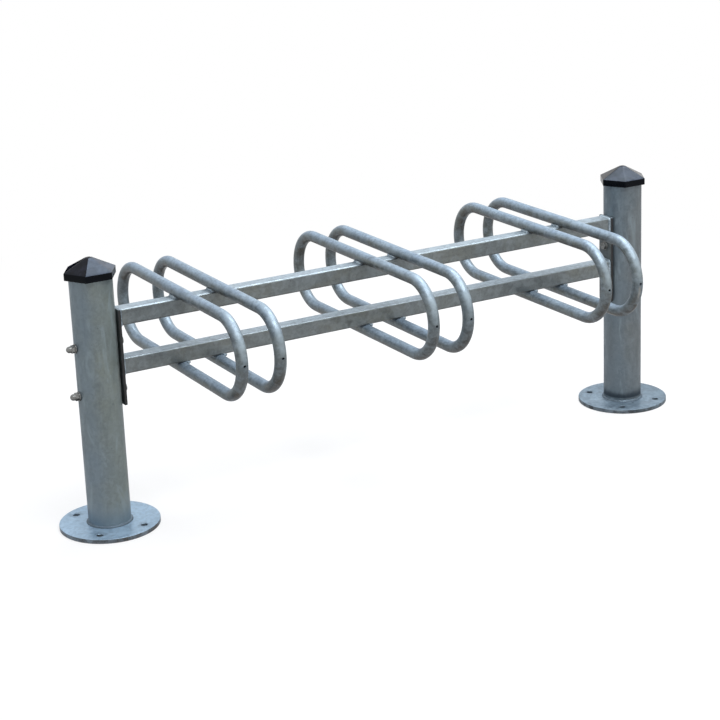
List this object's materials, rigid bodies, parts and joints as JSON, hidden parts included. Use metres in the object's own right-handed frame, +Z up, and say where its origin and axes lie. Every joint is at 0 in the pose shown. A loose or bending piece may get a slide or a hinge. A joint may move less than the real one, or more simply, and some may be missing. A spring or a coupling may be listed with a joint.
{
  "type": "bicycle rack",
  "caption": "Double-sided floor-mounted bicycle rack: round posts on bolt-down flanges, two square rails and paired tube hoops that hold wheels.",
  "frame": {"origin": "ground level under the middle of the rack: the centre of the base of the bounding box", "axes": "+X along the rails, +Z up, +Y across the rack; front and back are alike"},
  "size_m": [1.32, 0.5312, 0.496],
  "materials": {
    "galvanised_steel": "hot-dip galvanised: matt blue-grey zinc with mottled patches and vertical streaks",
    "galvanised_weld": "weld bead under hot-dip zinc, slightly brighter and rougher",
    "bright_steel": "zinc-plated fasteners with a satin sheen",
    "black_plastic": "moulded black plastic with a soft sheen"
  },
  "bodies": {
    "root": {"left_base_flange": "galvanised_steel", "right_base_flange": "galvanised_steel", "left_foot_weld": "galvanised_weld", "right_foot_weld": "galvanised_weld", "left_post": "galvanised_steel", "right_post": "galvanised_steel", "left_cap": "black_plastic", "right_cap": "black_plastic", "left_end_plate": "galvanised_steel", "right_end_plate": "galvanised_steel", "upper_rail": "galvanised_steel", "lower_rail": "galvanised_steel", "left_rail_welds": "galvanised_weld", "right_rail_welds": "galvanised_weld", "hoop_1": "galvanised_steel", "hoop_2": "galvanised_steel", "hoop_3": "galvanised_steel", "hoop_4": "galvanised_steel", "hoop_5": "galvanised_steel", "hoop_6": "galvanised_steel", "hoop_1_welds": "galvanised_weld", "hoop_2_welds": "galvanised_weld", "hoop_3_welds": "galvanised_weld", "hoop_4_welds": "galvanised_weld", "hoop_5_welds": "galvanised_weld", "hoop_6_welds": "galvanised_weld", "left_upper_bolt": "bright_steel", "left_lower_bolt": "bright_steel", "right_upper_bolt": "bright_steel", "right_lower_bolt": "bright_steel", "left_upper_dome_nut": "bright_steel", "left_lower_dome_nut": "bright_steel", "right_upper_bore_nut": "bright_steel", "right_lower_bore_nut": "bright_steel", "left_inner_washers": "bright_steel", "right_inner_washers": "bright_steel", "left_outer_washers": "bright_steel"}
  },
  "joints": []
}
